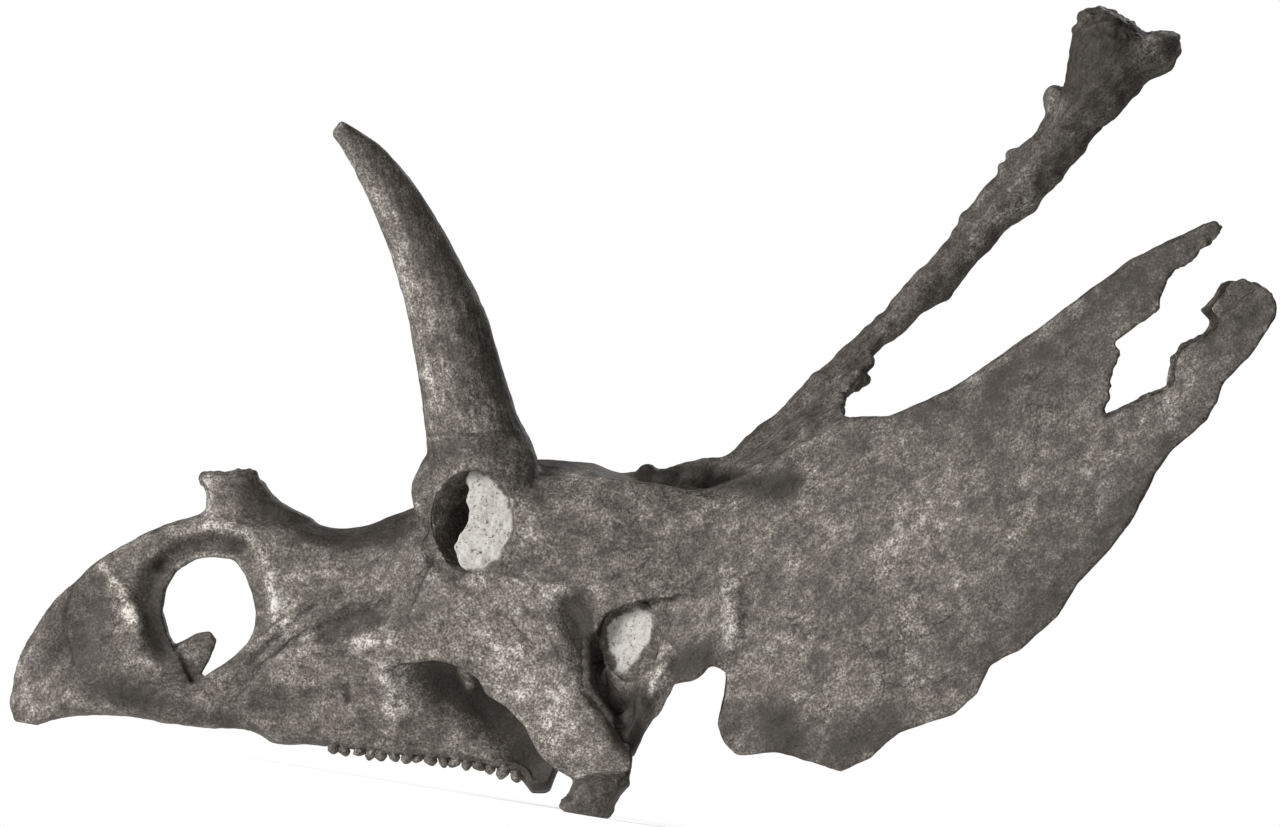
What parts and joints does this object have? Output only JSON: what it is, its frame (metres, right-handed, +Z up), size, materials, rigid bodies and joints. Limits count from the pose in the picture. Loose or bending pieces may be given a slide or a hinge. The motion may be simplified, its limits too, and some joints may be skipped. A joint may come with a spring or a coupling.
{
  "type": "dinosaur skull fossil",
  "caption": "Long-frilled horned dinosaur skull, a fossil with broken frill tips and no lower jaw, resting on its beak and cheek horns.",
  "frame": {"origin": "on the floor, under the middle of the bounding box", "axes": "+X from the beak towards the frill, +Z up; the animal's left side faces -Y, and y = 0 is its mid-plane"},
  "size_m": [1.974, 1.0578, 1.4652],
  "materials": {
    "bone": "matt, mottled fossil bone",
    "matrix": "matt, pale plaster and rock filling"
  },
  "bodies": {
    "root": {"braincase": "bone", "brow_horn_L": "bone", "brow_horn_R": "bone", "epijugal_L": "bone", "epijugal_R": "bone", "jugal_L": "bone", "jugal_R": "bone", "maxilla_L": "bone", "maxilla_R": "bone", "nasal": "bone", "orbit_matrix_L": "matrix", "orbit_matrix_R": "matrix", "parietal": "bone", "postorbital_L": "bone", "postorbital_R": "bone", "prefrontal_L": "bone", "prefrontal_R": "bone", "premaxilla_L": "bone", "premaxilla_R": "bone", "quadrate_L": "bone", "quadrate_R": "bone", "rostral": "bone", "skull_roof": "bone", "squamosal_L": "bone", "squamosal_R": "bone", "temporal_matrix_L": "matrix", "temporal_matrix_R": "matrix"}
  },
  "joints": []
}
